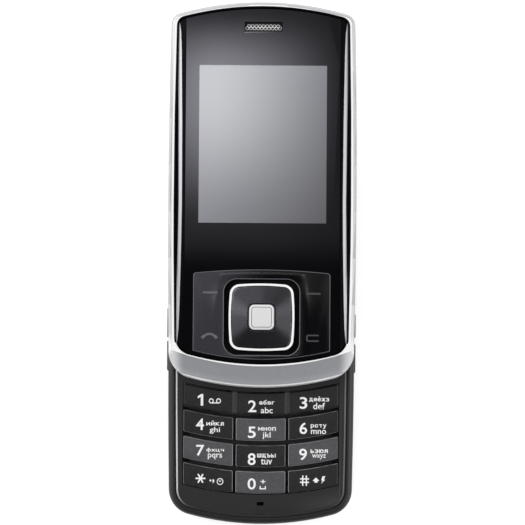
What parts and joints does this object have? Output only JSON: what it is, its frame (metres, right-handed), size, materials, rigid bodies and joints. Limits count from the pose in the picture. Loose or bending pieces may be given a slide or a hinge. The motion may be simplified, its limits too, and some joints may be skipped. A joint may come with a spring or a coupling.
{
  "type": "slider phone",
  "caption": "Slider phone shown open: silver-rimmed upper half with screen, function keys and navigation key, sliding on a lower half with a number keypad.",
  "frame": {"origin": "middle of the open phone's box, on the surface under its back", "axes": "+X across, +Y along the length towards the earpiece, +Z out of the screen"},
  "size_m": [0.0472, 0.1294, 0.0175],
  "materials": {
    "black_case": "fine matt",
    "charcoal_case": "satin",
    "bright_line": "polished",
    "board_green": "solder mask",
    "can_steel": "tinned",
    "dome_film": "film",
    "mat_rubber": "silicone",
    "battery_wrap": "wrapped",
    "contact_block": "moulded",
    "holder_steel": "pressed",
    "camera_black": "moulded",
    "clear_window": "clear",
    "mesh_steel": "woven",
    "guide_steel": "pressed sheet",
    "shoe_white": "moulded",
    "screw_steel": "turned",
    "spring_steel": "drawn wire",
    "flex_amber": "film",
    "key_charcoal": "fine grain",
    "side_key_black": "satin",
    "silver_rim": "satin silver",
    "black_window": "polished",
    "rear_cover_silver": "satin",
    "display_glass": "polished",
    "function_black": "polished",
    "nav_face": "turned finish",
    "nav_chrome": "polished",
    "ok_silver": "satin"
  },
  "bodies": {
    "lower_half": {"antenna": "contact_block", "base_guide_plate": "guide_steel", "base_spring_pins": "screw_steel", "battery": "battery_wrap", "battery_contacts": "contact_block", "camera_module": "camera_black", "camera_window": "clear_window", "case_screws": "screw_steel", "flex_cable": "flex_amber", "guide_plate_screws": "screw_steel", "guide_shoes": "shoe_white", "keypad_case": "charcoal_case", "keypad_dome_sheet": "dome_film", "keypad_mat": "mat_rubber", "keypad_trim_line": "bright_line", "loudspeaker": "camera_black", "loudspeaker_mesh": "mesh_steel", "main_board": "board_green", "microphone": "camera_black", "rear_case": "black_case", "shield_cans": "can_steel", "side_switches": "contact_block", "sim_holder": "holder_steel", "slide_spring_left": "spring_steel", "slide_spring_right": "spring_steel", "vibration_motor": "camera_black"},
    "upper_half": {"slide_frame": "silver_rim", "front_window": "black_window", "slide_rear_cover": "rear_cover_silver", "display_module": "display_glass", "upper_board": "board_green", "earpiece": "camera_black", "earpiece_mesh": "mesh_steel", "function_dome_sheet": "dome_film", "slide_screws": "screw_steel", "slide_plate": "guide_steel", "slide_spring_pins": "screw_steel"},
    "battery_cover": {"battery_cover": "black_case"},
    "left_function_key": {"left_function_key": "function_black"},
    "right_function_key": {"right_function_key": "function_black"},
    "nav_gimbal": {"nav_rubber": "mat_rubber"},
    "nav_key": {"nav_key": "nav_face", "nav_ring": "nav_chrome"},
    "ok_key": {"ok_key": "ok_silver"},
    "volume_key": {"volume_key": "side_key_black"},
    "upper_side_key": {"upper_side_key": "side_key_black"},
    "lower_side_key": {"lower_side_key": "side_key_black"},
    "key_0": {"key_0": "key_charcoal"},
    "key_1": {"key_1": "key_charcoal"},
    "key_2": {"key_2": "key_charcoal"},
    "key_3": {"key_3": "key_charcoal"},
    "key_4": {"key_4": "key_charcoal"},
    "key_5": {"key_5": "key_charcoal"},
    "key_6": {"key_6": "key_charcoal"},
    "key_7": {"key_7": "key_charcoal"},
    "key_8": {"key_8": "key_charcoal"},
    "key_9": {"key_9": "key_charcoal"},
    "key_hash": {"key_hash": "key_charcoal"},
    "key_star": {"key_star": "key_charcoal"}
  },
  "joints": [
    {"name": "slide_open", "type": "slide", "parent": "lower_half", "child": "upper_half", "axis": [0, 1, 0], "range_m": [-0.034, 0], "deforming": ["slide_spring_left", "slide_spring_right", "flex_cable"]},
    {"name": "battery_cover_slide", "type": "slide", "parent": "lower_half", "child": "battery_cover", "axis": [0, -1, 0], "range_m": [0, 0.006]},
    {"name": "key_0_press", "type": "slide", "parent": "lower_half", "child": "key_0", "axis": [0, 0, -1], "range_m": [0, 0.0004], "stiffness_N_per_m": 1500},
    {"name": "key_1_press", "type": "slide", "parent": "lower_half", "child": "key_1", "axis": [0, 0, -1], "range_m": [0, 0.0004], "stiffness_N_per_m": 1500},
    {"name": "key_2_press", "type": "slide", "parent": "lower_half", "child": "key_2", "axis": [0, 0, -1], "range_m": [0, 0.0004], "stiffness_N_per_m": 1500},
    {"name": "key_3_press", "type": "slide", "parent": "lower_half", "child": "key_3", "axis": [0, 0, -1], "range_m": [0, 0.0004], "stiffness_N_per_m": 1500},
    {"name": "key_4_press", "type": "slide", "parent": "lower_half", "child": "key_4", "axis": [0, 0, -1], "range_m": [0, 0.0004], "stiffness_N_per_m": 1500},
    {"name": "key_5_press", "type": "slide", "parent": "lower_half", "child": "key_5", "axis": [0, 0, -1], "range_m": [0, 0.0004], "stiffness_N_per_m": 1500},
    {"name": "key_6_press", "type": "slide", "parent": "lower_half", "child": "key_6", "axis": [0, 0, -1], "range_m": [0, 0.0004], "stiffness_N_per_m": 1500},
    {"name": "key_7_press", "type": "slide", "parent": "lower_half", "child": "key_7", "axis": [0, 0, -1], "range_m": [0, 0.0004], "stiffness_N_per_m": 1500},
    {"name": "key_8_press", "type": "slide", "parent": "lower_half", "child": "key_8", "axis": [0, 0, -1], "range_m": [0, 0.0004], "stiffness_N_per_m": 1500},
    {"name": "key_9_press", "type": "slide", "parent": "lower_half", "child": "key_9", "axis": [0, 0, -1], "range_m": [0, 0.0004], "stiffness_N_per_m": 1500},
    {"name": "key_hash_press", "type": "slide", "parent": "lower_half", "child": "key_hash", "axis": [0, 0, -1], "range_m": [0, 0.0004], "stiffness_N_per_m": 1500},
    {"name": "key_star_press", "type": "slide", "parent": "lower_half", "child": "key_star", "axis": [0, 0, -1], "range_m": [0, 0.0004], "stiffness_N_per_m": 1500},
    {"name": "volume_key_rock", "type": "hinge", "parent": "lower_half", "child": "volume_key", "pos_m": [-0.022, -0.01885, 0.0072], "axis": [0, 0, 1], "range_deg": [-1.5, 1.5], "stiffness_Nm_per_rad": 0.3},
    {"name": "upper_side_key_press", "type": "slide", "parent": "lower_half", "child": "upper_side_key", "axis": [-1, 0, 0], "range_m": [0, 0.0003], "stiffness_N_per_m": 1500},
    {"name": "lower_side_key_press", "type": "slide", "parent": "lower_half", "child": "lower_side_key", "axis": [-1, 0, 0], "range_m": [0, 0.0003], "stiffness_N_per_m": 1500},
    {"name": "left_function_rock", "type": "hinge", "parent": "upper_half", "child": "left_function_key", "pos_m": [0, -0.0126, 0.0167], "axis": [1, 0, 0], "range_deg": [-1.2, 1.2], "stiffness_Nm_per_rad": 0.8},
    {"name": "right_function_rock", "type": "hinge", "parent": "upper_half", "child": "right_function_key", "pos_m": [0, -0.0126, 0.0167], "axis": [1, 0, 0], "range_deg": [-1.2, 1.2], "stiffness_Nm_per_rad": 0.8},
    {"name": "nav_tilt_up_down", "type": "hinge", "parent": "upper_half", "child": "nav_gimbal", "pos_m": [0, -0.01325, 0.0165], "axis": [1, 0, 0], "range_deg": [-2, 2], "stiffness_Nm_per_rad": 0.4},
    {"name": "nav_tilt_left_right", "type": "hinge", "parent": "nav_gimbal", "child": "nav_key", "pos_m": [0, -0.01325, 0.0165], "axis": [0, 1, 0], "range_deg": [-2, 2], "stiffness_Nm_per_rad": 0.4},
    {"name": "ok_key_press", "type": "slide", "parent": "upper_half", "child": "ok_key", "axis": [0, 0, -1], "range_m": [0, 0.0003], "stiffness_N_per_m": 1500}
  ]
}
